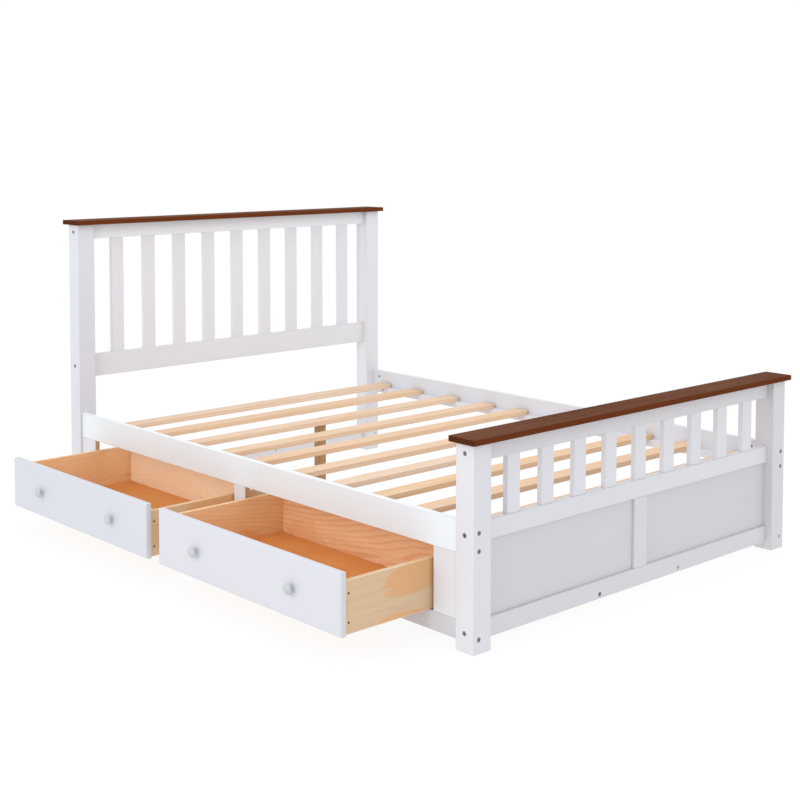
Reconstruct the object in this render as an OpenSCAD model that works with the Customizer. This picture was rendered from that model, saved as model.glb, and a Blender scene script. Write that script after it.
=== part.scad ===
// Full-size slatted bed with a head frame, a foot frame and two pull-out drawers on one side.
// X runs across the bed, Y from foot to head, Z up. The drawers open towards -X and are
// drawn open. The origin is on the floor, at the middle of the whole outline.

/* [Overall] */
// Width over the outer faces of the posts
bed_w = 1450; // [1300:10:1600]
// Length over the outer faces of the posts
bed_l = 2040; // [1900:10:2150]
// Side of the square posts
post = 66; // [62:1:74]
// Height of the foot posts, under their cap
foot_post_h = 551; // [500:1:640]
// Height of the head posts, under their cap
head_post_h = 1024; // [850:1:1200]

/* [Caps] */
// Thickness of both caps
cap_t = 16; // [10:1:24]
// How far a cap stands out past the posts on each side of the bed
cap_side_lip = 13.5; // [5:0.5:25]
// How far the foot cap stands out past the post faces along the bed
foot_cap_lip = 15; // [5:1:25]
// How far the head cap stands out past the post faces along the bed
head_cap_lip = 19; // [5:1:30]

/* [Head and foot frames] */
// Thickness of the rails between two posts
end_rail_t = 22; // [20:1:30]
// Height of both top rails
top_rail_h = 52.5; // [45:0.5:70]
// Underside of both bottom rails, above the floor
bottom_rail_z = 26; // [20:1:28]
// Height of both bottom rails and of the sill under the drawers
bottom_rail_h = 53; // [50:1:54]
// Underside of the foot frame's middle rail
foot_mid_z = 287; // [278:1:287]
// Height of the foot frame's middle rail
foot_mid_h = 53; // [50:1:75]
// Underside of the head frame's middle rail
head_mid_z = 467; // [430:1:520]
// Height of the head frame's middle rail
head_mid_h = 82; // [60:1:110]
// Number of upright slats in each frame
upright_n = 9; // [5:1:11]
// Width of an upright slat
upright_w = 50; // [40:1:60]
// Thickness of an upright slat
upright_t = 16; // [12:1:18]
// Width of the stile between the two foot panels
foot_stile_w = 60; // [45:1:80]
// Thickness of the foot panels
panel_t = 6; // [4:1:8]
// How far the foot panels lie behind the front of the rails
panel_set = 8; // [6:1:10]

/* [Side frames] */
// Underside of both side rails
side_rail_z = 256; // [256:1:260]
// Height of both side rails
side_rail_h = 87; // [80:1:95]
// Thickness of the side rails and the sill
side_rail_t = 20; // [20:1:24]
// Thickness of the stiles between the sill and the side rail
stile_t = 17; // [15:1:24]
// How far the side rails lie behind the outer faces of the posts
side_set = 8; // [7:1:9]
// Width of the stiles next to the posts
end_stile_w = 90; // [86:1:100]
// Width of the stile between the drawers
mid_stile_w = 57; // [55:1:70]

/* [Slats] */
// Width of a bed slat
slat_w = 62; // [50:1:75]
// Thickness of a bed slat
slat_t = 16; // [12:1:20]
// Height of the ledges that carry the slats
ledge_h = 25; // [20:1:30]
// Thickness of the ledges
ledge_t = 20; // [16:1:25]
// Side of the square centre legs
leg_t = 30; // [24:1:40]

/* [Drawers] */
// How far the drawers stand open
pull_out = 321; // [0:1:321]
// Gap between a drawer front and the stiles on either side
front_side_gap = 4.5; // [3:0.5:7]
// Gap between a drawer front and the sill
front_sill_gap = 1; // [1:0.5:4]
// Gap between a drawer front and the side rail over it
front_top_gap = 9.5; // [5:0.5:10]
// Thickness of a drawer front
front_t = 18; // [16:1:20]
// Radius of the rounded outer edges of a drawer front
front_r = 6; // [3:1:8]
// Depth of a drawer box, behind the front
box_depth = 448; // [400:1:460]
// Height of a drawer box
box_h = 140; // [120:1:143]
// Thickness of the sides and back of a drawer box
box_t = 12; // [12:1:14]
// Thickness of the drawer bottom
bottom_t = 5; // [3:1:6]
// Diameter of a knob
knob_d = 32; // [26:1:38]
// Length of a knob
knob_len = 25; // [22:1:30]
// Distance between the two knobs of a drawer
knob_pitch = 436; // [300:1:500]

/* [Fasteners] */
// Diameter of a joint bolt's head
bolt_head_d = 13; // [12:1:14]
// Thickness of a joint bolt's head
bolt_head_t = 2.5; // [2:0.5:3]
// Diameter of a barrel nut
nut_d = 10; // [9:1:10]

/* [Hidden] */

paint = [0.93, 0.93, 0.94];
walnut = [0.42, 0.22, 0.13];
pine = [0.93, 0.79, 0.63];
shade_pine = [0.72, 0.55, 0.38];
ply = [0.85, 0.66, 0.46];
floor_ply = [0.82, 0.52, 0.28];
zinc = [0.42, 0.47, 0.5];
steel = [0.3, 0.22, 0.16];

// Half sizes of the bed and the inner faces of the posts
half_w = bed_w / 2;
half_l = bed_l / 2;
in_x = half_w - post;
in_y = half_l - post;

// Planes across the bed, drawer side first
side_out = -half_w + side_set;
side_in = side_out + side_rail_t;
// The bearer lies inside the bed, and its outer face carries the far ends of the runners
bearer_x = -half_w + 525;
bearer_t = 28;

// Planes along the bed: middle of the two end frames
head_y = half_l - post / 2;
foot_y = -half_l + post / 2;

// Heights
sill_top = bottom_rail_z + bottom_rail_h;
foot_mid_top = foot_mid_z + foot_mid_h;
head_mid_top = head_mid_z + head_mid_h;
foot_top_z = foot_post_h - top_rail_h;
head_top_z = head_post_h - top_rail_h;
slat_z = side_rail_z + ledge_h;

// Joinery
tenon = 10;
groove = 6;
upright_gap = (2 * in_x - upright_n * upright_w) / (upright_n + 1);

// Bed slats: even places, and how far each loose slat has slipped towards the foot
slat_n = 10;
slat_pitch = (2 * in_y - 162) / (slat_n - 1);
slat_slip = [6, 6, 22, 26, 4, 21, 16, 7, 3, 14];
slat_len = 2 * (half_w - side_set - side_rail_t) - 14;
leg_slats = [3, 8];
leg_x = 5;

// Drawers: middle of each opening and the planes of the open drawer
opening_w = (2 * in_y - 2 * end_stile_w - mid_stile_w) / 2;
drawer_mid = mid_stile_w / 2 + opening_w / 2;
front_w = opening_w - 2 * front_side_gap;
front_x = side_out - pull_out;
front_z = sill_top + front_sill_gap;
front_h = side_rail_z - front_top_gap - front_z;
box_x = front_x + front_t;
box_w = front_w - 7;
box_lift = 3;
box_z = front_z + box_lift;
box_front_t = 18;
front_screw_set = 12;
floor_lift = 6;
floor_z = box_z + floor_lift;
runner_gap = 1;
guide_gap = 1.5;
guide_rise = 25;
runner_h = 40;

// Joint bolts
bolt_d = 6;
bolt_bore = 7;
bolt_side = 20;
nut_set = 38;
nut_len = 12;
side_bolt_z = [side_rail_z + 15, side_rail_z + 63];
foot_bolt_z = [bottom_rail_z + 25.5, foot_mid_z + 23, foot_top_z + 26];
head_bolt_z = [bottom_rail_z + 25.5, head_mid_z + 44, head_top_z + 26];
low_bolt_z = bottom_rail_z + 13;
high_bolt_z = bottom_rail_z + 41;
bearer_bolt_x = bearer_x + bearer_t / 2;

// The middle of the whole outline: drawers open at one side, caps at the other
low_x = front_x - knob_len;
high_x = half_w + cap_side_lip;
mid_x = (low_x + high_x) / 2;
mid_y = (head_cap_lip - foot_cap_lip) / 2;

// Moves bed-centred geometry to the part's own origin
module placed() translate([-mid_x, -mid_y, 0]) children();

// A straight board between two corners
module board(x0, x1, y0, y1, z0, z1) translate([x0, y0, z0]) cube([x1 - x0, y1 - y0, z1 - z0]);

// ---------- joint bolts ----------
// Each entry: point on the outer face, the way the bolt points, the way the nut's hole opens,
// the distance from the face to the nut, and half the thickness of the board that holds the nut
end_bolts = concat(
  [for (s = [-1, 1]) for (z = foot_bolt_z)
    [[s * half_w, foot_y, z], [-s, 0], [0, 1], post + nut_set, end_rail_t / 2]],
  [for (s = [-1, 1]) for (z = head_bolt_z)
    [[s * half_w, head_y, z], [-s, 0], [0, 1], post + nut_set, end_rail_t / 2]]);
rail_bolts = [for (s = [-1, 1]) for (e = [-1, 1]) for (z = side_bolt_z)
  [[s * (half_w - bolt_side), e * half_l, z], [0, -e], [-s, 0], post + nut_set, side_rail_t / 2]];
sill_bolts = [for (e = [-1, 1])
  [[-half_w + bolt_side, e * half_l, e < 0 ? low_bolt_z : high_bolt_z],
   [0, -e], [1, 0], post + nut_set, side_rail_t / 2]];
bearer_bolts = [for (e = [-1, 1])
  [[bearer_bolt_x, e * (head_y + end_rail_t / 2), e < 0 ? low_bolt_z : high_bolt_z],
   [0, -e], [1, 0], end_rail_t + nut_set, bearer_t / 2]];
bolts = concat(end_bolts, rail_bolts, sill_bolts, bearer_bolts);

// Bores that stay empty here: they take the sill and the bearer when the drawers go on the
// other side of the bed
spare_bores = [for (e = [-1, 1])
  [[half_w - bolt_side, e * half_l, e < 0 ? low_bolt_z : high_bolt_z],
   [0, -e], [-1, 0], post - 5, 0]];
spare_rail_bores = [for (e = [-1, 1])
  [[-bearer_bolt_x, e * (head_y + end_rail_t / 2), e < 0 ? low_bolt_z : high_bolt_z],
   [0, -e], [-1, 0], end_rail_t - 5, 0]];

// Turns +Z to a direction given by its x and y parts
function aim(d) = d.x != 0 ? [0, 90 * d.x, 0] : [-90 * d.y, 0, 0];

module bolt_bore_cut(b) translate(b[0]) rotate(aim(b[1])) {
  translate([0, 0, -1]) cylinder(d = bolt_head_d + 0.6, h = bolt_head_t + 1, $fn = 32);
  cylinder(d = bolt_bore, h = b[3] + nut_d / 2 + 5, $fn = 32);
}

// The nut's hole runs from the open face of its board to the far end of the nut
module nut_bore_cut(b) translate(b[0] + b[3] * [b[1].x, b[1].y, 0]) rotate(aim(b[2]))
  translate([0, 0, -nut_len / 2]) cylinder(d = nut_d + 0.4, h = nut_len / 2 + b[4] + 1, $fn = 32);

module bolt(b) translate(b[0]) rotate(aim(b[1])) difference() {
  union() {
    cylinder(d = bolt_head_d, h = bolt_head_t, $fn = 32);
    cylinder(d = bolt_d, h = b[3] + nut_d / 2 + 3, $fn = 32);
  }
  translate([0, 0, -1]) cylinder(d = bolt_d - 1.2, h = 3, $fn = 6);
}

module barrel_nut(b) difference() {
  translate(b[0] + b[3] * [b[1].x, b[1].y, 0]) rotate(aim(b[2]))
    translate([0, 0, -nut_len / 2]) cylinder(d = nut_d, h = nut_len, $fn = 32);
  translate(b[0]) rotate(aim(b[1])) cylinder(d = bolt_d, h = b[3] + nut_d + 3, $fn = 32);
}

module all_bolt_bores() {
  for (b = concat(bolts, spare_bores, spare_rail_bores)) bolt_bore_cut(b);
}

module all_nut_bores() {
  for (b = bolts) nut_bore_cut(b);
}

// ---------- head and foot frames ----------
module post_blank(side, end, h)
  board(side < 0 ? -half_w : in_x, side < 0 ? -in_x : half_w,
        end < 0 ? -half_l : in_y, end < 0 ? -in_y : half_l, 0, h);

module bored_post(side, end, h) difference() {
  post_blank(side, end, h);
  all_bolt_bores();
}

module cap(y, lip, z)
  board(-half_w - cap_side_lip, half_w + cap_side_lip, y - post / 2 - lip, y + post / 2 + lip,
        z, z + cap_t);

module end_rail(y, z, h) board(-in_x, in_x, y - end_rail_t / 2, y + end_rail_t / 2, z, z + h);

// The upright slats of one frame, with their tenons in the rails above and below
module uprights(y, z0, z1)
  for (i = [0 : upright_n - 1])
    board(-in_x + upright_gap + i * (upright_w + upright_gap),
          -in_x + (i + 1) * (upright_w + upright_gap),
          y - upright_t / 2, y + upright_t / 2, z0 - tenon, z1 + tenon);

module head_rail(z, h) difference() {
  end_rail(head_y, z, h);
  uprights(head_y, head_mid_top, head_top_z);
  all_bolt_bores();
  all_nut_bores();
}

module foot_rail(z, h) difference() {
  end_rail(foot_y, z, h);
  uprights(foot_y, foot_mid_top, foot_top_z);
  foot_panel(-1);
  foot_panel(1);
  all_bolt_bores();
  all_nut_bores();
}

// One panel of the foot frame, in grooves of the rails and the stile
module foot_panel(side) {
  front = foot_y - end_rail_t / 2 + panel_set;
  edge = foot_stile_w / 2 - groove;
  board(side < 0 ? -in_x : edge, side < 0 ? -edge : in_x, front, front + panel_t,
        sill_top - groove, foot_mid_z + groove);
}

// ---------- side frames ----------
module side_rail_blank(side, z, h)
  board(side < 0 ? side_out : -side_in, side < 0 ? side_in : -side_out, -in_y, in_y, z, z + h);

// Two dowels in each end of every stile; next to the posts they stay clear of the bolts
dowel_d = 8;
dowel_len = 30;
stile_mids = [in_y - end_stile_w / 2, 0, -in_y + end_stile_w / 2];
near_dowel = in_y - end_stile_w + 15;
dowel_ys = [-near_dowel - 18, -near_dowel, -15, 15, near_dowel, near_dowel + 18];
module dowels()
  for (y = dowel_ys) for (z = [sill_top, side_rail_z])
    translate([side_out + stile_t / 2, y, z - dowel_len / 2])
      cylinder(d = dowel_d, h = dowel_len, $fn = 32);

module stile(y, w) difference() {
  board(side_out, side_out + stile_t, y - w / 2, y + w / 2, sill_top, side_rail_z);
  dowels();
}

// Screw: a flat head let in flush, and a shank, drawn along +Z from the surface
module screw(head_d, head_t, shank_d, len) {
  cylinder(d = head_d, h = head_t, $fn = 24);
  cylinder(d = shank_d, h = len, $fn = 24);
}

// Screws through the ledges into the side rails, and through two slats into the legs
ledge_screw_n = 4;
module frame_screws() {
  for (s = [-1, 1]) for (i = [0 : ledge_screw_n - 1])
    translate([-s * (side_in + ledge_t), -872 + i * 1744 / (ledge_screw_n - 1),
               side_rail_z + ledge_h / 2])
      rotate(aim([s, 0])) screw(7, 2, 3.5, ledge_t + 15);
  for (i = leg_slats)
    translate([leg_x, leg_y(i), slat_z + slat_t]) rotate([180, 0, 0]) screw(8, 2, 4, slat_t + 35);
}

module ledge(side) difference() {
  x0 = side < 0 ? side_in : -side_in - ledge_t;
  board(x0, x0 + ledge_t, -in_y + 45, in_y - 45, side_rail_z, slat_z);
  frame_screws();
}

function slat_y(i) = in_y - 81 - (i - 1) * slat_pitch - slat_slip[i - 1];

// A leg stands under the head-side half of its slat
function leg_y(i) = slat_y(i) + slat_w / 2 - leg_t / 2 - 1;

module bed_slat(i) color(pine) placed() difference() {
  board(-slat_len / 2, slat_len / 2, slat_y(i) - slat_w / 2, slat_y(i) + slat_w / 2,
        slat_z, slat_z + slat_t);
  frame_screws();
}

module centre_leg(i) color(shade_pine) placed() difference() {
  board(leg_x - leg_t / 2, leg_x + leg_t / 2, leg_y(i) - leg_t / 2, leg_y(i) + leg_t / 2,
        0, slat_z);
  frame_screws();
}

// ---------- drawers ----------
// Both drawers are the same; mid is the middle of the drawer along the bed

// A front with all its outer edges rounded: two rounded outlines, crossed
module rounded_edge_outline(depth, height, r) {
  translate([r, 0]) square([depth - r, height]);
  translate([0, r]) square([r, height - 2 * r]);
  translate([r, r]) circle(r = r, $fn = 32);
  translate([r, height - r]) circle(r = r, $fn = 32);
}

module front_blank(mid) translate([front_x, mid - front_w / 2, front_z]) intersection() {
  linear_extrude(front_h) rounded_edge_outline(front_t, front_w, front_r);
  translate([0, front_w, 0]) rotate([90, 0, 0])
    linear_extrude(front_w) rounded_edge_outline(front_t, front_h, front_r);
}

module drawer_front(mid) color(paint) placed() difference() {
  front_blank(mid);
  drawer_screws(mid);
}

module drawer_box_front(mid) color(ply) placed() difference() {
  board(box_x, box_x + box_front_t, mid - box_w / 2 + box_t, mid + box_w / 2 - box_t,
        box_z, box_z + box_h);
  drawer_bottom_blank(mid);
  drawer_screws(mid);
}

// side is 1 for the head end of the drawer and -1 for the foot end
module drawer_side(mid, side) color(ply) placed() difference() {
  y0 = side > 0 ? mid + box_w / 2 - box_t : mid - box_w / 2;
  board(box_x, box_x + box_depth, y0, y0 + box_t, box_z, box_z + box_h);
  drawer_bottom_blank(mid);
  drawer_screws(mid);
}

module drawer_back(mid) color(ply) placed() difference() {
  board(box_x + box_depth - box_t, box_x + box_depth, mid - box_w / 2 + box_t,
        mid + box_w / 2 - box_t, box_z, box_z + box_h);
  drawer_bottom_blank(mid);
  drawer_screws(mid);
}

module drawer_bottom_blank(mid)
  board(box_x + box_front_t - groove, box_x + box_depth - box_t + groove,
        mid - box_w / 2 + box_t - groove, mid + box_w / 2 - box_t + groove,
        floor_z, floor_z + bottom_t);

module drawer_bottom(mid) color(floor_ply) placed() drawer_bottom_blank(mid);

// Screws: two at each corner of the box, and one behind each knob
corner_screw_z = [box_z + 30, box_z + box_h - 34];
knob_z = front_z + front_h / 2;
module drawer_screws(mid) {
  for (z = corner_screw_z) for (s = [-1, 1])
    for (x = [box_x + front_screw_set, box_x + box_depth - box_t / 2])
      translate([x, mid + s * box_w / 2, z]) rotate(aim([0, -s])) screw(6.5, 2, 3.5, box_t + 28);
  for (s = [-1, 1])
    translate([box_x + box_front_t, mid + s * knob_pitch / 2, knob_z]) rotate(aim([-1, 0]))
      screw(9, 2.2, 4, box_front_t + front_t + 16);
}

// Knob: a turned stem and a mushroom head, as one outline turned round its axis
stem_r = 7;
neck_r = 5.5;
head_base = 8;
head_edge = 14;
function dome(n) = [for (i = [0 : n])
  [knob_d / 2 * cos(90 * i / n), head_edge + (knob_len - head_edge) * sin(90 * i / n)]];
knob_outline = concat(
  [[0, 0], [stem_r, 0], [stem_r, 2], [neck_r, 5], [neck_r, head_base], [knob_d / 2 - 2, 11.5]],
  dome(8));

module knobs(mid) color(paint) placed() difference() {
  for (s = [-1, 1])
    translate([front_x, mid + s * knob_pitch / 2, knob_z]) rotate(aim([-1, 0]))
      rotate_extrude($fn = 48) polygon(knob_outline);
  drawer_screws(mid);
}

module drawer_screw_set(mid) color(steel) placed() drawer_screws(mid);

// Runners: flat boards under the sides of the drawers, each with a lip that guides the side
module runner(y0, y1, lip0, lip1) {
  board(side_in, bearer_x, y0, y1, box_z - runner_gap - runner_h, box_z - runner_gap);
  board(side_in, bearer_x, lip0, lip1, box_z - runner_gap, box_z + guide_rise);
}
box_out = drawer_mid + box_w / 2;
box_in = drawer_mid - box_w / 2;

// ---------- the nodes ----------
module head_post_left() color(paint) placed() bored_post(-1, 1, head_post_h);
module head_post_right() color(paint) placed() bored_post(1, 1, head_post_h);
module foot_post_left() color(paint) placed() bored_post(-1, -1, foot_post_h);
module foot_post_right() color(paint) placed() bored_post(1, -1, foot_post_h);
module head_cap() color(walnut) placed() cap(head_y, head_cap_lip, head_post_h);
module foot_cap() color(walnut) placed() cap(foot_y, foot_cap_lip, foot_post_h);
module head_top_rail() color(paint) placed() head_rail(head_top_z, top_rail_h);
module head_middle_rail() color(paint) placed() head_rail(head_mid_z, head_mid_h);
module head_bottom_rail() color(paint) placed() head_rail(bottom_rail_z, bottom_rail_h);
module head_uprights() color(paint) placed() uprights(head_y, head_mid_top, head_top_z);
module foot_top_rail() color(paint) placed() foot_rail(foot_top_z, top_rail_h);
module foot_middle_rail() color(paint) placed() foot_rail(foot_mid_z, foot_mid_h);
module foot_bottom_rail() color(paint) placed() foot_rail(bottom_rail_z, bottom_rail_h);
module foot_uprights() color(paint) placed() uprights(foot_y, foot_mid_top, foot_top_z);

module foot_stile() color(paint) placed() difference() {
  board(-foot_stile_w / 2, foot_stile_w / 2, foot_y - end_rail_t / 2, foot_y + end_rail_t / 2,
        sill_top, foot_mid_z);
  foot_panel(-1);
  foot_panel(1);
}

module foot_panel_left() color(paint) placed() foot_panel(-1);
module foot_panel_right() color(paint) placed() foot_panel(1);

module drawer_side_rail() color(paint) placed() difference() {
  side_rail_blank(-1, side_rail_z, side_rail_h);
  all_bolt_bores();
  all_nut_bores();
  dowels();
  frame_screws();
}

module drawer_sill() color(paint) placed() difference() {
  side_rail_blank(-1, bottom_rail_z, bottom_rail_h);
  all_bolt_bores();
  all_nut_bores();
  dowels();
}

module stile_head() color(paint) placed() stile(stile_mids[0], end_stile_w);
module stile_centre() color(paint) placed() stile(stile_mids[1], mid_stile_w);
module stile_foot() color(paint) placed() stile(stile_mids[2], end_stile_w);

module wall_side_rail() color(paint) placed() difference() {
  side_rail_blank(1, side_rail_z, side_rail_h);
  all_bolt_bores();
  all_nut_bores();
  frame_screws();
}

module slat_ledge_left() color(paint) placed() ledge(-1);
module slat_ledge_right() color(paint) placed() ledge(1);
module centre_leg_head() centre_leg(leg_slats[0]);
module centre_leg_foot() centre_leg(leg_slats[1]);

module inner_bearer() color(pine) placed() difference() {
  board(bearer_x, bearer_x + bearer_t, foot_y + end_rail_t / 2, head_y - end_rail_t / 2,
        bottom_rail_z, sill_top);
  all_bolt_bores();
  all_nut_bores();
}

module drawer_runners() color(pine) placed() {
  runner(box_out - 25, box_out + guide_gap + 20, box_out + guide_gap, box_out + guide_gap + 20);
  runner(-box_in - 15, box_in + 15, -box_in + guide_gap, box_in - guide_gap);
  runner(-box_out - guide_gap - 20, -box_out + 25, -box_out - guide_gap - 20, -box_out - guide_gap);
}

module joint_bolts() color(zinc) placed() for (b = bolts) bolt(b);
module barrel_nuts() color(zinc) placed() for (b = bolts) barrel_nut(b);
module stile_dowels() color(pine) placed() dowels();
module wood_screws() color(steel) placed() frame_screws();

head_post_left();
head_post_right();
foot_post_left();
foot_post_right();
head_cap();
foot_cap();
head_top_rail();
head_middle_rail();
head_bottom_rail();
head_uprights();
foot_top_rail();
foot_middle_rail();
foot_bottom_rail();
foot_uprights();
foot_stile();
foot_panel_left();
foot_panel_right();
drawer_side_rail();
drawer_sill();
stile_head();
stile_centre();
stile_foot();
wall_side_rail();
slat_ledge_left();
slat_ledge_right();
bed_slat(1);  // bed_slat_1
bed_slat(2);  // bed_slat_2
bed_slat(3);  // bed_slat_3
bed_slat(4);  // bed_slat_4
bed_slat(5);  // bed_slat_5
bed_slat(6);  // bed_slat_6
bed_slat(7);  // bed_slat_7
bed_slat(8);  // bed_slat_8
bed_slat(9);  // bed_slat_9
bed_slat(10);  // bed_slat_10
centre_leg_head();
centre_leg_foot();
inner_bearer();
drawer_runners();
joint_bolts();
barrel_nuts();
stile_dowels();
wood_screws();
drawer_front(drawer_mid);  // drawer_1_front
drawer_box_front(drawer_mid);  // drawer_1_box_front
drawer_side(drawer_mid, 1);  // drawer_1_left_side
drawer_side(drawer_mid, -1);  // drawer_1_right_side
drawer_back(drawer_mid);  // drawer_1_back
drawer_bottom(drawer_mid);  // drawer_1_bottom
knobs(drawer_mid);  // drawer_1_knobs
drawer_screw_set(drawer_mid);  // drawer_1_screws
drawer_front(-drawer_mid);  // drawer_2_front
drawer_box_front(-drawer_mid);  // drawer_2_box_front
drawer_side(-drawer_mid, 1);  // drawer_2_left_side
drawer_side(-drawer_mid, -1);  // drawer_2_right_side
drawer_back(-drawer_mid);  // drawer_2_back
drawer_bottom(-drawer_mid);  // drawer_2_bottom
knobs(-drawer_mid);  // drawer_2_knobs
drawer_screw_set(-drawer_mid);  // drawer_2_screws
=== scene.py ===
import math
import random

import bmesh
import bpy
from mathutils import Matrix, Vector


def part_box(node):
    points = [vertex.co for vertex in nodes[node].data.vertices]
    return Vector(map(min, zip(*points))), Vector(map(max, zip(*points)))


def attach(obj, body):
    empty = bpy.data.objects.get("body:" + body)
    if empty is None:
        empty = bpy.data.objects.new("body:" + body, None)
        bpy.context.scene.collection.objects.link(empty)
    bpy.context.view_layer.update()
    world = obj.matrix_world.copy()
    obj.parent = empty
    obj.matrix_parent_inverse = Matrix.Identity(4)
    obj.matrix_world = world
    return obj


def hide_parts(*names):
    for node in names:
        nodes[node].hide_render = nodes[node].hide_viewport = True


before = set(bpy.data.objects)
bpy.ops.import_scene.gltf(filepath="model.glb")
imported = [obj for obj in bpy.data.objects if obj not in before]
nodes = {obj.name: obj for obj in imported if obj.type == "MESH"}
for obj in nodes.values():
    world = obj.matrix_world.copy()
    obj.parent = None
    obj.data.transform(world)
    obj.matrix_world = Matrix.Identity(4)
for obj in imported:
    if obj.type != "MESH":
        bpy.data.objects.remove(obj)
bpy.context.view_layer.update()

scene = bpy.context.scene

AXES = {"x": 0, "y": 1, "z": 2}

# ------------------------------------------------------------------ node-tree helper


class Tree:
    """A short way to write a material's nodes."""

    def __init__(self, tree):
        self.tree = tree
        self.links = tree.links

    def add(self, kind, **props):
        made = self.tree.nodes.new(kind)
        for key, value in props.items():
            setattr(made, key, value)
        return made

    def put(self, socket, value):
        """Links a socket to a socket, or sets it to a number or a tuple."""
        if isinstance(value, bpy.types.NodeSocket):
            self.links.new(value, socket)
        elif value is not None:
            socket.default_value = value

    def math(self, op, a, b=None):
        made = self.add("ShaderNodeMath", operation=op)
        for socket, value in zip(made.inputs, (a, b)):
            self.put(socket, value)
        return made.outputs[0]

    def vec(self, op, a, b=None):
        made = self.add("ShaderNodeVectorMath", operation=op)
        for socket, value in zip(made.inputs, (a, b)):
            self.put(socket, value)
        return made.outputs[0]

    def split(self, a):
        made = self.add("ShaderNodeSeparateXYZ")
        self.put(made.inputs[0], a)
        return made.outputs

    def join(self, x, y, z):
        made = self.add("ShaderNodeCombineXYZ")
        for socket, value in zip(made.inputs, (x, y, z)):
            self.put(socket, value)
        return made.outputs[0]

    def noise(self, vector, scale, detail=2.0, rough=0.5, distort=0.0):
        made = self.add("ShaderNodeTexNoise")
        self.put(made.inputs["Vector"], vector)
        made.inputs["Scale"].default_value = scale
        made.inputs["Detail"].default_value = detail
        made.inputs["Roughness"].default_value = rough
        made.inputs["Distortion"].default_value = distort
        return made.outputs["Fac"]

    def ramp(self, fac, stops):
        """A grey level for each value: stops is a list of (value, grey)."""
        made = self.add("ShaderNodeValToRGB")
        elements = made.color_ramp.elements
        while len(elements) < len(stops):
            elements.new(0.5)
        for element, (place, grey) in zip(elements, stops):
            element.position = place
            element.color = (grey, grey, grey, 1.0)
        self.put(made.inputs[0], fac)
        return made.outputs[0]

    def span(self, value, a, b, c, d, kind="LINEAR"):
        """Turns a to b into c to d, and stops there."""
        made = self.add("ShaderNodeMapRange", clamp=True, interpolation_type=kind)
        for socket, v in zip(made.inputs, (value, a, b, c, d)):
            self.put(socket, v)
        return made.outputs[0]

    def part_of(self, value, a, b, power):
        """Nothing at a, all of power at b: a share for mix."""
        return self.math("MULTIPLY", self.span(value, a, b, 0.0, 1.0), power)

    def mix(self, fac, a, b):
        made = self.add("ShaderNodeMix", data_type="RGBA", blend_type="MIX")
        self.put(made.inputs["Factor"], fac)
        for socket, value in ((made.inputs[6], a), (made.inputs[7], b)):
            if isinstance(value, (tuple, list)) and len(value) == 3:
                value = (*value, 1.0)
            self.put(socket, value)
        return made.outputs[2]

    def bump(self, height, strength, distance, normal=None):
        made = self.add("ShaderNodeBump")
        made.inputs["Strength"].default_value = strength
        made.inputs["Distance"].default_value = distance
        self.put(made.inputs["Height"], height)
        if normal is not None:
            self.put(made.inputs["Normal"], normal)
        return made.outputs[0]


def srgb(r, g, b):
    """A colour given as 0 to 255 display values, as linear light."""
    return tuple((v / 255 / 12.92) if v <= 10 else ((v / 255 + 0.055) / 1.055) ** 2.4 for v in (r, g, b))


def new_material(name):
    made = bpy.data.materials.new(name)
    made.use_nodes = True
    tree = Tree(made.node_tree)
    shader = made.node_tree.nodes["Principled BSDF"]
    return made, tree, shader


def place_in(tree):
    """The point on the surface, in the bed's own frame: every object sits at the origin."""
    return tree.add("ShaderNodeTexCoord").outputs["Object"]


def facing(tree, axis):
    """How squarely the flat face looks along an axis: 1 is squarely, 0 is not at all."""
    normal = tree.split(tree.add("ShaderNodeNewGeometry").outputs["True Normal"])
    return tree.math("ABSOLUTE", normal[AXES[axis]])


def edge_distance(tree, point, low, high):
    """Distance from a point on a box's face to that face's nearest edge: the middle one of three."""
    away = tree.vec("ABSOLUTE", tree.vec("SUBTRACT", point, tuple((low + high) / 2)))
    inside = tree.vec("SUBTRACT", tuple((high - low) / 2), away)
    x, y, z = tree.split(inside)
    least = tree.math("MINIMUM", x, y)
    most = tree.math("MAXIMUM", x, y)
    return tree.math("MAXIMUM", least, tree.math("MINIMUM", most, z))


def along(axis, parts):
    """Three parts of a point or size, in the order that puts the grain's axis last."""
    x, y, z = parts
    return {"x": (y, z, x), "y": (x, z, y), "z": (x, y, z)}[axis]


# ------------------------------------------------------------------ materials


PAINT_DULL, PAINT_FRESH = (217, 218, 224), (223, 223, 229)
PAINT_GRAIN, PAINT_THIN = (206, 206, 211), (196, 192, 188)
BARE_PALE, BARE_DARK = (220, 186, 152), (190, 150, 114)
PLAIN_TONE = (1.0, 1.0, 1.0)
THIN_REACH = 0.0022


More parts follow.
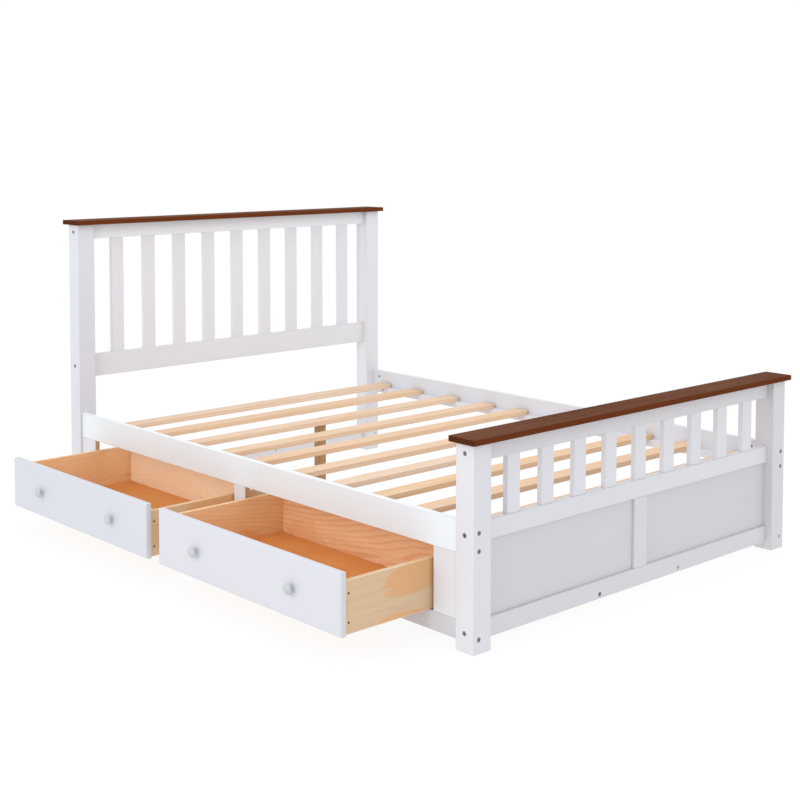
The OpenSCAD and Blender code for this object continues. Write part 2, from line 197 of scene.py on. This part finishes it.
def paint_material(name, low, high, axis, seed, tone_and_light=PLAIN_TONE, bare_edges=False):
    """Satin white paint over planed wood: a little sheen, faint brush marks, thin paint at the edges."""
    rnd = random.Random(seed)
    made, t, shader = new_material(name)
    point = place_in(t)
    shift = tuple(rnd.uniform(-3, 3) for _ in range(3))
    p = t.vec("ADD", t.join(*along(axis, t.split(point))), shift)
    grain = t.noise(t.vec("MULTIPLY", p, (1.0, 1.0, 0.05)), 260, 3.0, 0.6, 0.3)
    broad = t.noise(t.vec("MULTIPLY", p, (1.0, 1.0, 0.35)), 7.0, 2.0, 0.5)
    peel = t.noise(p, 620, 2.0, 0.5)
    wobble = t.math("MULTIPLY", t.noise(p, 90, 2.0), THIN_REACH)
    edge = t.math("SUBTRACT", edge_distance(t, point, low, high), wobble)
    thin = t.span(edge, 0.0, THIN_REACH, 1.0, 0.0, kind="SMOOTHSTEP")
    # For most parts the tone scales the paint into painted light and shade; for the foot panels it is partly
    # their own greyer paint.
    dull, fresh = (srgb(*[v * k for v, k in zip(colour, tone_and_light)]) for colour in (PAINT_DULL, PAINT_FRESH))
    base = t.mix(broad, dull, fresh)
    base = t.mix(t.part_of(grain, 0.35, 0.7, 0.10), base, srgb(*PAINT_GRAIN))
    base = t.mix(t.math("MULTIPLY", thin, 0.20), base, srgb(*PAINT_THIN))
    if bare_edges:
        # The narrow upright edges were left without paint
        wood = t.mix(t.span(grain, 0.35, 0.65, 0.0, 1.0), srgb(*BARE_PALE), srgb(*BARE_DARK))
        base = t.mix(t.span(facing(t, "y"), 0.6, 0.9, 0.0, 1.0), base, wood)
    t.put(shader.inputs["Base Color"], base)
    rough = t.math("ADD", t.span(broad, 0.3, 0.7, 0.36, 0.46), t.math("MULTIPLY", thin, -0.06))
    t.put(shader.inputs["Roughness"], rough)
    shader.inputs["IOR"].default_value = 1.48
    shader.inputs["Specular IOR Level"].default_value = 0.38
    t.put(shader.inputs["Normal"], t.bump(peel, 0.10, 0.0002, t.bump(grain, 0.16, 0.0004)))
    return made


def length_of(t, a, b):
    """The length of the flat vector (a, b)."""
    return t.math("SQRT", t.math("ADD", t.math("MULTIPLY", a, a), t.math("MULTIPLY", b, b)))


def shaken(t, value, noise, size):
    """The value, moved to and fro by a noise that is 0.5 on average."""
    return t.math("ADD", value, t.math("MULTIPLY", t.math("SUBTRACT", noise, 0.5), size))


def heart_patch(t, look, q, b, c):
    """Heartwood: whole patches with a ragged border, at set places or wherever a noise is high."""
    if "patches" not in look:
        rag = t.noise(t.vec("MULTIPLY", q, (1.0, 1.0, 0.3)), 6.0, 4.0, 0.6, 0.5)
        return t.span(rag, 0.55, 0.59, 0.0, 1.0, kind="SMOOTHSTEP")
    field = None
    for centre_c, centre_b, half_c, half_b in look["patches"]:
        du = t.math("DIVIDE", t.math("SUBTRACT", c, centre_c), half_c)
        dv = t.math("DIVIDE", t.math("SUBTRACT", b, centre_b), half_b)
        one = length_of(t, du, dv)
        field = one if field is None else t.math("MINIMUM", field, one)
    rag = t.noise(t.vec("MULTIPLY", q, (1.0, 1.0, 0.55)), 16, 4.0, 0.6, 0.6)
    return t.span(shaken(t, field, rag, 1.5), 0.86, 1.04, 1.0, 0.0, kind="SMOOTHSTEP")


def wood_material(name, low, high, axis, seed, look):
    """Wood cut from a log: growth rings round a heart away from the board, fibres, pores and edges."""
    rnd = random.Random(seed)
    made, t, shader = new_material(name)
    point = place_in(t)
    middle = along(axis, (low + high) / 2)
    # The log's heart lies to one side of the board, and its line is a little askew to the board
    turn = rnd.uniform(-0.5, 0.5)
    off_a, off_b = look["heart"] * math.sin(turn), look["heart"] * math.cos(turn)
    lean_a, lean_b = (rnd.uniform(-1, 1) * look["lean"] for _ in range(2))
    jump = tuple(rnd.uniform(-4, 4) for _ in range(3))
    a, b, c = (t.math("SUBTRACT", part, m) for part, m in zip(along(axis, t.split(point)), middle))
    q = t.vec("ADD", t.join(a, b, c), jump)
    across_a = t.math("ADD", t.math("ADD", a, off_a), t.math("MULTIPLY", c, lean_a))
    across_b = t.math("ADD", t.math("ADD", b, off_b), t.math("MULTIPLY", c, lean_b))
    # Slow bends of the trunk, then smaller ones
    slow = t.noise(t.vec("MULTIPLY", q, (1.0, 1.0, 0.22)), look["bend_scale"], 2.0, 0.5)
    small = t.noise(t.vec("MULTIPLY", q, (1.0, 1.0, 0.1)), 60, 3.0, 0.55)
    radius = shaken(t, length_of(t, across_a, across_b), slow, look["bend"])
    rings = t.math("DIVIDE", shaken(t, radius, small, look["ragged"]), look["ring"])
    # Each ring darkens slowly outwards and ends sharply, and rings differ in strength
    late = t.ramp(t.math("FRACT", rings), [(0.0, 0.0), (0.55, 0.25), (0.86, 1.0), (0.97, 0.75), (1.0, 0.0)])
    power = t.noise(t.join(t.math("FLOOR", rings), 0.37, jump[0]), 1.7, 1.0)
    late = t.math("MULTIPLY", late, t.span(power, 0.3, 0.7, 0.45, 1.0))
    fibre = t.noise(t.vec("MULTIPLY", q, (1.0, 1.0, 0.035)), 700, 3.0, 0.65, 0.2)
    streak = t.noise(t.vec("MULTIPLY", q, (1.0, 1.0, 0.03)), 95, 2.0, 0.5, 0.1)
    cloud = t.noise(t.vec("MULTIPLY", q, (1.0, 1.0, 0.45)), 9.0, 3.0, 0.55)
    colour = t.mix(t.math("MULTIPLY", late, look["late"]), look["early_colour"], look["late_colour"])
    if "heart_colour" in look:
        patch = heart_patch(t, look, q, b, c)
        colour = t.mix(t.math("MULTIPLY", patch, look["patch_power"]), colour, look["heart_colour"])
    colour = t.mix(t.part_of(cloud, 0.3, 0.7, look["cloud"]), colour, look["cloud_colour"])
    colour = t.mix(t.part_of(streak, 0.35, 0.72, look["streak"]), colour, look["late_colour"])
    colour = t.mix(t.part_of(fibre, 0.5, 0.8, look["fibre"]), colour, look["fibre_colour"])
    if "shaded_side_colour" in look:
        # The narrow sides are painted darker and redder than the broad top: painted shade on the sides
        shaded_flank = t.span(facing(t, "z"), 0.3, 0.8, 0.75, 0.0)
        side = t.mix(t.math("MULTIPLY", late, 0.5), look["shaded_side_colour"], look["late_colour"])
        colour = t.mix(shaded_flank, colour, side)
    # End grain drinks more stain and looks darker
    colour = t.mix(t.span(facing(t, axis), 0.6, 0.9, 0.0, look.get("end", 0.5)), colour, look["end_colour"])
    # An edge band: on walnut and pine a darker worn edge; on the drawer boxes a pale band that is a painted
    # highlight along the edges.
    edge = t.math("SUBTRACT", edge_distance(t, point, low, high), t.math("MULTIPLY", small, 0.002))
    edge_wear_and_highlight = t.span(edge, 0.0, look.get("edge_reach", 0.002), 1.0, 0.0, kind="SMOOTHSTEP")
    colour = t.mix(t.math("MULTIPLY", edge_wear_and_highlight, look["edge"]), colour, look["edge_colour"])
    t.put(shader.inputs["Base Color"], colour)
    rough = t.span(cloud, 0.3, 0.7, look["rough"] - 0.05, look["rough"] + 0.05)
    t.put(shader.inputs["Roughness"], t.math("ADD", rough, t.math("MULTIPLY", late, -0.05)))
    shader.inputs["Specular IOR Level"].default_value = look["specular"]
    if "coat" in look:
        shader.inputs["Coat Weight"].default_value = look["coat"]
        shader.inputs["Coat Roughness"].default_value = look["coat_rough"]
    height = t.math("ADD", t.math("MULTIPLY", fibre, 0.6), t.math("MULTIPLY", late, 0.5))
    t.put(shader.inputs["Normal"], t.bump(height, look["bump"], 0.0005))
    return made


def metal_material(name, colour, dark, rough, seed):
    """Plated steel: fine scratches, dull spots."""
    rnd = random.Random(seed)
    made, t, shader = new_material(name)
    point = t.vec("ADD", place_in(t), tuple(rnd.uniform(-2, 2) for _ in range(3)))
    spots = t.noise(point, 900, 3.0, 0.6)
    fine = t.noise(t.vec("MULTIPLY", point, (1.0, 1.0, 0.1)), 3000, 2.0, 0.5)
    t.put(shader.inputs["Base Color"], t.mix(t.span(spots, 0.35, 0.7, 0.0, 1.0), colour, dark))
    shader.inputs["Metallic"].default_value = 1.0
    t.put(shader.inputs["Roughness"], t.span(spots, 0.3, 0.7, rough - 0.08, rough + 0.1))
    t.put(shader.inputs["Normal"], t.bump(fine, 0.15, 0.0002))
    return made


PINE = dict(heart=0.12, lean=0.03, bend=0.035, bend_scale=2.2, ragged=0.0016, ring=0.0085, late=0.42,
            early_colour=srgb(230, 200, 166), late_colour=srgb(212, 160, 112), cloud=0.35,
            cloud_colour=srgb(220, 180, 138), streak=0.25, fibre=0.35, fibre_colour=srgb(192, 144, 98),
            rough=0.6, bump=0.25, edge=0.25, edge_colour=srgb(200, 158, 116), specular=0.2,
            end_colour=srgb(176, 126, 84))
# Rough pine for the legs under the slats; its darker colour is partly painted shade.
SHADED_ROUGH_PINE = dict(PINE, early_colour=srgb(184, 148, 110), late_colour=srgb(144, 102, 68), late=0.6,
                  ring=0.006, cloud_colour=srgb(170, 124, 86), fibre_colour=srgb(122, 84, 56), rough=0.7,
                  bump=0.4, edge_colour=srgb(134, 92, 60), end_colour=srgb(120, 84, 56))
WALNUT = dict(heart=0.10, lean=0.02, bend=0.03, bend_scale=1.8, ragged=0.0022, ring=0.006, late=0.6,
              early_colour=srgb(114, 70, 45), late_colour=srgb(76, 39, 22), cloud=0.35,
              cloud_colour=srgb(93, 53, 32), streak=0.55, fibre=0.6, fibre_colour=srgb(56, 29, 16),
              rough=0.66, bump=0.22, edge=0.35, edge_colour=srgb(88, 38, 15), edge_reach=0.003, specular=0.03,
              # The sides' darker, redder colour is painted shade
              shaded_side_colour=srgb(106, 49, 17), end_colour=srgb(72, 36, 20), end=0.8)
BOX = dict(heart=0.045, lean=0.2, bend=0.10, bend_scale=4.5, ragged=0.0018, ring=0.014, late=0.5,
           early_colour=srgb(240, 206, 164), late_colour=srgb(222, 160, 100), cloud=0.30,
           cloud_colour=srgb(232, 186, 134), streak=0.22, fibre=0.3, fibre_colour=srgb(206, 152, 98),
           heart_colour=srgb(224, 152, 88), patch_power=0.6, rough=0.5, bump=0.2, edge=0.45,
           # The pale edge colour is a painted highlight along the box edges
           edge_colour=srgb(250, 222, 186), specular=0.25, coat=0.08, coat_rough=0.35,
           end_colour=srgb(206, 160, 112))
OUTSIDE = dict(BOX, early_colour=srgb(216, 190, 158), late_colour=srgb(198, 162, 122), late=0.3, ring=0.022,
               cloud_colour=srgb(206, 172, 136), streak=0.15, fibre=0.25, fibre_colour=srgb(188, 152, 114),
               heart_colour=srgb(224, 168, 114), patch_power=0.85,
               # Heartwood patches: centre along the board, centre up it, and the two half sizes
               patches=[(0.03, 0.032, 0.135, 0.046), (-0.01, -0.072, 0.11, 0.020)])
FLOOR_PLY = dict(heart=0.20, lean=0.05, bend=0.05, bend_scale=2.4, ragged=0.001, ring=0.02, late=0.25,
                 early_colour=srgb(222, 152, 84), late_colour=srgb(200, 122, 58), cloud=0.4,
                 cloud_colour=srgb(212, 138, 70), streak=0.3, fibre=0.35, fibre_colour=srgb(186, 108, 50),
                 rough=0.55, bump=0.12, edge=0.1, edge_colour=srgb(200, 126, 70), specular=0.25,
                 end_colour=srgb(170, 104, 56))

# ------------------------------------------------------------------ what each node gets

WHITE_X = ("head_top_rail", "head_middle_rail", "head_bottom_rail", "foot_top_rail", "foot_middle_rail",
           "foot_bottom_rail")
WHITE_Y = ("drawer_side_rail", "drawer_sill", "wall_side_rail", "slat_ledge_left", "slat_ledge_right",
           "drawer_1_front", "drawer_2_front")
WHITE_Z = ("head_post_left", "head_post_right", "foot_post_left", "foot_post_right", "head_uprights",
           "foot_uprights", "foot_stile", "foot_panel_left", "foot_panel_right", "stile_head", "stile_centre",
           "stile_foot")
# Paint a little greyer or brighter per part. For most parts this is painted light and shade: the sill is
# painted darker as the open drawers' shadow, the side rail and the head top rail are painted lighter against
# the shade and coloured bounce on them, and the drawer fronts, posts and rails are painted darker or lighter
# to match their shading. The foot panels' greyer paint is partly their own colour.
LIGHT_AND_PAINT_TONES = {"foot_panel_left": (0.935, 0.93, 0.93), "foot_panel_right": (0.925, 0.925, 0.93),
         "drawer_1_front": (0.93, 0.94, 0.945), "drawer_2_front": (0.945, 0.95, 0.955),
         "drawer_side_rail": (1.045, 1.08, 1.08), "drawer_sill": (0.91, 0.915, 0.915),
         "foot_bottom_rail": (0.955, 0.95, 0.95), "foot_middle_rail": (0.99, 0.99, 0.985),
         "foot_top_rail": (0.98, 0.975, 0.97), "foot_stile": (0.96, 0.955, 0.95),
         "foot_post_right": (0.955, 0.95, 0.945), "foot_post_left": (0.99, 0.99, 0.99),
         "head_post_left": (0.965, 0.975, 0.985), "head_top_rail": (1.065, 1.075, 1.075),
         "wall_side_rail": (0.985, 0.995, 1.0)}
# The knobs are painted greyer than the drawer fronts: painted shade on the knobs.
KNOB_SHADE_TONE = (0.872, 0.87, 0.865)
# Radius of the long edges, by a word in the node's name: the first word that fits counts
EDGE_RADII = (("dowels", 0.0), ("post", 0.0022), ("cap", 0.0022), ("ledge", 0.0010), ("slat", 0.0012),
              ("rail", 0.0014), ("side", 0.0010), ("back", 0.0010), ("stile", 0.0012), ("uprights", 0.0010),
              ("leg", 0.0012), ("panel", 0.0004), ("sill", 0.0014), ("box_front", 0.0010), ("bearer", 0.0012),
              ("runners", 0.0010), ("bottom", 0.0004))
# Points closer than this are one point, and an edge shorter than this belongs to a hole's rim, in metres
SAME_POINT = 0.00002
SHORT_EDGE = 0.005
# Points are matched on a grid this fine
GRID_PER_METRE = 20000
# Two faces meet sharply where the dot product of their normals is under this
SHARP_DOT = 0.8


def dress(node, material):
    piece = nodes[node]
    piece.data.materials.clear()
    piece.data.materials.append(material)


def soften(node, radius):
    """Rounds a carried-over node's long edges. The mesh itself stays: only modifiers are added."""
    piece = nodes[node]
    mesh = piece.data
    spots = [tuple(round(c * GRID_PER_METRE) for c in v.co) for v in mesh.vertices]
    normals = {}
    for face in mesh.polygons:
        for a, b in face.edge_keys:
            normals.setdefault(frozenset((spots[a], spots[b])), []).append(face.normal.copy())
    weight = mesh.attributes.new("bevel_weight_edge", "FLOAT", "EDGE")
    rim = mesh.attributes.get("sharp_edge") or mesh.attributes.new("sharp_edge", "BOOLEAN", "EDGE")
    for edge in mesh.edges:
        a, b = edge.vertices
        near = normals.get(frozenset((spots[a], spots[b])), [])
        sharp = len(near) == 2 and near[0].dot(near[1]) < SHARP_DOT
        long_enough = (mesh.vertices[a].co - mesh.vertices[b].co).length > SHORT_EDGE
        weight.data[edge.index].value = 1.0 if sharp and long_enough else 0.0
        rim.data[edge.index].value = sharp and not long_enough
    weld = piece.modifiers.new("weld", "WELD")
    weld.merge_threshold = SAME_POINT
    bevel = piece.modifiers.new("bevel", "BEVEL")
    bevel.width = radius
    bevel.segments = 3
    bevel.limit_method = "WEIGHT"
    bevel.use_clamp_overlap = True
    bevel.miter_outer = "MITER_SHARP"
    normal = piece.modifiers.new("normal", "WEIGHTED_NORMAL")
    normal.keep_sharp = True
    normal.weight = 100
    for face in mesh.polygons:
        face.use_smooth = True


for group, axis in ((WHITE_X, "x"), (WHITE_Y, "y"), (WHITE_Z, "z")):
    for node in group:
        low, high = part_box(node)
        tone_and_light = LIGHT_AND_PAINT_TONES.get(node, PLAIN_TONE)
        dress(node, paint_material("paint_" + node, low, high, axis, node, tone_and_light, node.startswith("stile_")))

for node in ("head_cap", "foot_cap"):
    low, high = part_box(node)
    dress(node, wood_material("walnut_" + node, low, high, "x", node, WALNUT))

# Some slats are golden pine and some are paler and greyer
PALE_EARLY, PALE_CLOUD = srgb(232, 214, 198), srgb(226, 196, 170)
# How far each slat, counted from the head, goes from golden to pale
SLAT_PALE = (0.75, 0.35, 0.6, 0.45, 0.3, 0.55, 0.9, 0.1, 0.25, 0.4)
for number, pale in enumerate(SLAT_PALE, 1):
    node = f"bed_slat_{number}"
    low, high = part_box(node)
    rnd = random.Random(number)
    look = dict(PINE, heart=rnd.uniform(0.05, 0.2), late=rnd.uniform(0.3, 0.55),
                early_colour=tuple(Vector(PINE["early_colour"]).lerp(PALE_EARLY, pale)),
                cloud_colour=tuple(Vector(PINE["cloud_colour"]).lerp(PALE_CLOUD, pale)))
    dress(node, wood_material("pine_" + node, low, high, "x", node, look))

for node, axis, look in (("inner_bearer", "y", PINE), ("drawer_runners", "x", PINE),
                         ("stile_dowels", "z", PINE), ("centre_leg_head", "z", SHADED_ROUGH_PINE),
                         ("centre_leg_foot", "z", SHADED_ROUGH_PINE)):
    low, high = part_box(node)
    dress(node, wood_material("wood_" + node, low, high, axis, node, look))

# The two backs came from paler boards than the sides
BOX_CHANGES = {
    "drawer_1_back": {"early_colour": srgb(255, 240, 215), "late_colour": srgb(246, 208, 162), "late": 0.4,
                      "cloud_colour": srgb(252, 226, 192), "patch_power": 0.1, "streak": 0.12},
    "drawer_2_back": {"early_colour": srgb(248, 214, 178), "late_colour": srgb(224, 152, 92), "late": 0.65,
                      "cloud_colour": srgb(240, 200, 158), "patch_power": 0.3}}
for number in (1, 2):
    for part, axis in (("box_front", "y"), ("left_side", "x"), ("right_side", "x"), ("back", "y")):
        node = f"drawer_{number}_{part}"
        low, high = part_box(node)
        look = dict(OUTSIDE if part == "right_side" else BOX, **BOX_CHANGES.get(node, {}))
        dress(node, wood_material("ply_" + node, low, high, axis, node, look))
    node = f"drawer_{number}_bottom"
    low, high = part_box(node)
    dress(node, wood_material("ply_" + node, low, high, "y", node, FLOOR_PLY))

zinc = metal_material("zinc_plate", srgb(150, 160, 166), srgb(96, 104, 110), 0.42, 1)
bronze = metal_material("dark_screws", srgb(96, 72, 54), srgb(60, 44, 34), 0.5, 2)
for node in ("joint_bolts", "barrel_nuts"):
    dress(node, zinc)
for node in ("wood_screws", "drawer_1_screws", "drawer_2_screws"):
    dress(node, bronze)

for node in nodes:
    radius = next((size for word, size in EDGE_RADII if word in node), 0.0)
    if radius:
        soften(node, radius)

# ------------------------------------------------------------------ knobs, turned


def lathe(name, outline, centre, direction, steps=64):
    """A turned piece: outline is a list of (radius, distance along the axis)."""
    mesh = bpy.data.meshes.new(name)
    bm = bmesh.new()
    turn = Vector((0, 0, 1)).rotation_difference(direction).to_matrix()
    rows = []
    for radius, height in outline:
        if radius == 0.0:
            rows.append([bm.verts.new(centre + turn @ Vector((0, 0, height)))])
            continue
        angles = [2 * math.pi * k / steps for k in range(steps)]
        ring = [Vector((radius * math.cos(angle), radius * math.sin(angle), height)) for angle in angles]
        rows.append([bm.verts.new(centre + turn @ spot) for spot in ring])
    for lower, upper in zip(rows, rows[1:]):
        for k in range(steps):
            n = (k + 1) % steps
            if len(lower) == 1:
                bm.faces.new((lower[0], upper[k], upper[n]))
            elif len(upper) == 1:
                bm.faces.new((lower[k], lower[n], upper[0]))
            else:
                bm.faces.new((lower[k], lower[n], upper[n], upper[k]))
    bmesh.ops.recalc_face_normals(bm, faces=bm.faces)
    bm.to_mesh(mesh)
    bm.free()
    for face in mesh.polygons:
        face.use_smooth = True
    made = bpy.data.objects.new(name, mesh)
    scene.collection.objects.link(made)
    return made


KNOB_R = 0.016
KNOB_LEN = 0.025
DOME_START = 0.0158
DOME_STEPS = 16
# Foot, waist and the flare under the dome: (radius, distance from the drawer front)
KNOB_STEM = [(0.0, 0.0), (0.0088, 0.0), (0.0091, 0.0007), (0.0088, 0.0017), (0.0070, 0.0030),
             (0.0060, 0.0048), (0.0055, 0.0074), (0.0056, 0.0098), (0.0066, 0.0114), (0.0090, 0.0125),
             (0.0125, 0.0136)]


def knob_outline():
    """The stem, then a quarter of an ellipse up to the middle of the dome."""
    turns = [math.pi / 2 * k / DOME_STEPS for k in range(DOME_STEPS)]
    dome = [(KNOB_R * math.cos(a), DOME_START + (KNOB_LEN - DOME_START) * math.sin(a)) for a in turns]
    return KNOB_STEM + dome + [(0.0, KNOB_LEN)]


for number, body in ((1, "drawer_head_end"), (2, "drawer_foot_end")):
    low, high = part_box(f"drawer_{number}_knobs")
    z = (low.z + high.z) / 2
    for side, y in (("left", high.y - KNOB_R), ("right", low.y + KNOB_R)):
        knob = lathe(f"knob_{number}_{side}", knob_outline(), Vector((high.x, y, z)), Vector((-1, 0, 0)))
        low_k = Vector((low.x, y - KNOB_R, low.z))
        high_k = Vector((high.x, y + KNOB_R, high.z))
        seed = f"knob{number}{side}"
        paint = paint_material(f"paint_knob_{number}_{side}", low_k, high_k, "x", seed, KNOB_SHADE_TONE)
        knob.data.materials.append(paint)
        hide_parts(f"drawer_{number}_knobs")
        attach(knob, body)

# ------------------------------------------------------------------ room, light and camera

FLOOR_REACH = 30.0
# Just under the feet, so that no two faces share a plane
FLOOR_DROP = 0.0005
corners = [(x * FLOOR_REACH, y * FLOOR_REACH, 0) for x, y in ((-1, -1), (1, -1), (1, 1), (-1, 1))]
floor_mesh = bpy.data.meshes.new("floor")
floor_mesh.from_pydata(corners, [], [(0, 1, 2, 3)])
floor = bpy.data.objects.new("floor", floor_mesh)
floor.location.z = -FLOOR_DROP
scene.collection.objects.link(floor)
# The floor glows a little, so that it stays white and takes only a faint shadow
floor_material, _, shader = new_material("floor_white")
shader.inputs["Base Color"].default_value = (0.10, 0.10, 0.10, 1)
shader.inputs["Roughness"].default_value = 0.9
shader.inputs["Specular IOR Level"].default_value = 0.0
shader.inputs["Emission Color"].default_value = (1, 1, 1, 1)
shader.inputs["Emission Strength"].default_value = 0.905
floor.data.materials.append(floor_material)

world = bpy.data.worlds.new("studio")
world.use_nodes = True
world.node_tree.nodes["Background"].inputs["Color"].default_value = (1.0, 1.0, 1.0, 1)
world.node_tree.nodes["Background"].inputs["Strength"].default_value = 1.0
scene.world = world
scene.view_settings.view_transform = "Standard"


def area_light(name, where, target, size, power):
    light = bpy.data.lights.new(name, "AREA")
    light.shape = "RECTANGLE"
    light.size, light.size_y = size, size
    light.energy = power
    made = bpy.data.objects.new(name, light)
    made.location = where
    made.rotation_mode = "QUATERNION"
    made.rotation_quaternion = (Vector(target) - Vector(where)).to_track_quat("-Z", "Y")
    scene.collection.objects.link(made)


area_light("key", (-4.6, -0.8, 2.2), (-0.7, 0.0, 0.3), 2.4, 50)
area_light("over_bed", (0.2, -0.6, 3.1), (0.1, 0.6, 0.4), 2.2, 14)

# The camera was placed from the middle of the closed bed, which the open drawers put off this frame's middle
BED_MIDDLE = Vector((-0.16225, 0.002, 0.0))
CAMERA_AT = Vector((-3.27490, -3.48115, 1.33689)) - BED_MIDDLE
CAMERA_AZIMUTH, CAMERA_TILT, CAMERA_ROLL = (math.radians(angle) for angle in (41.91, -3.37, -0.03))
# Focal length and the view's centre, in the units of an image this wide
IMAGE, FOCAL, CENTRE_X, CENTRE_Y = 800.0, 1398.10, 374.80, 220.0
forward = Vector((math.sin(CAMERA_AZIMUTH) * math.cos(CAMERA_TILT),
                  math.cos(CAMERA_AZIMUTH) * math.cos(CAMERA_TILT),
                  math.sin(CAMERA_TILT)))
level = forward.cross(Vector((0, 0, 1))).normalized()
upright = level.cross(forward)
right = level * math.cos(CAMERA_ROLL) + upright * math.sin(CAMERA_ROLL)
up = upright * math.cos(CAMERA_ROLL) - level * math.sin(CAMERA_ROLL)
camera_data = bpy.data.cameras.new("camera")
camera_data.sensor_width = 36.0
camera_data.sensor_fit = "HORIZONTAL"
camera_data.lens = 36.0 * FOCAL / IMAGE
camera_data.shift_x = (IMAGE / 2 - CENTRE_X) / IMAGE
camera_data.shift_y = (CENTRE_Y - IMAGE / 2) / IMAGE
camera_data.clip_start, camera_data.clip_end = 0.05, 100
camera = bpy.data.objects.new("camera", camera_data)
camera.matrix_world = Matrix((
    (right.x, up.x, -forward.x, CAMERA_AT.x),
    (right.y, up.y, -forward.y, CAMERA_AT.y),
    (right.z, up.z, -forward.z, CAMERA_AT.z),
    (0, 0, 0, 1)))
scene.collection.objects.link(camera)
scene.camera = camera
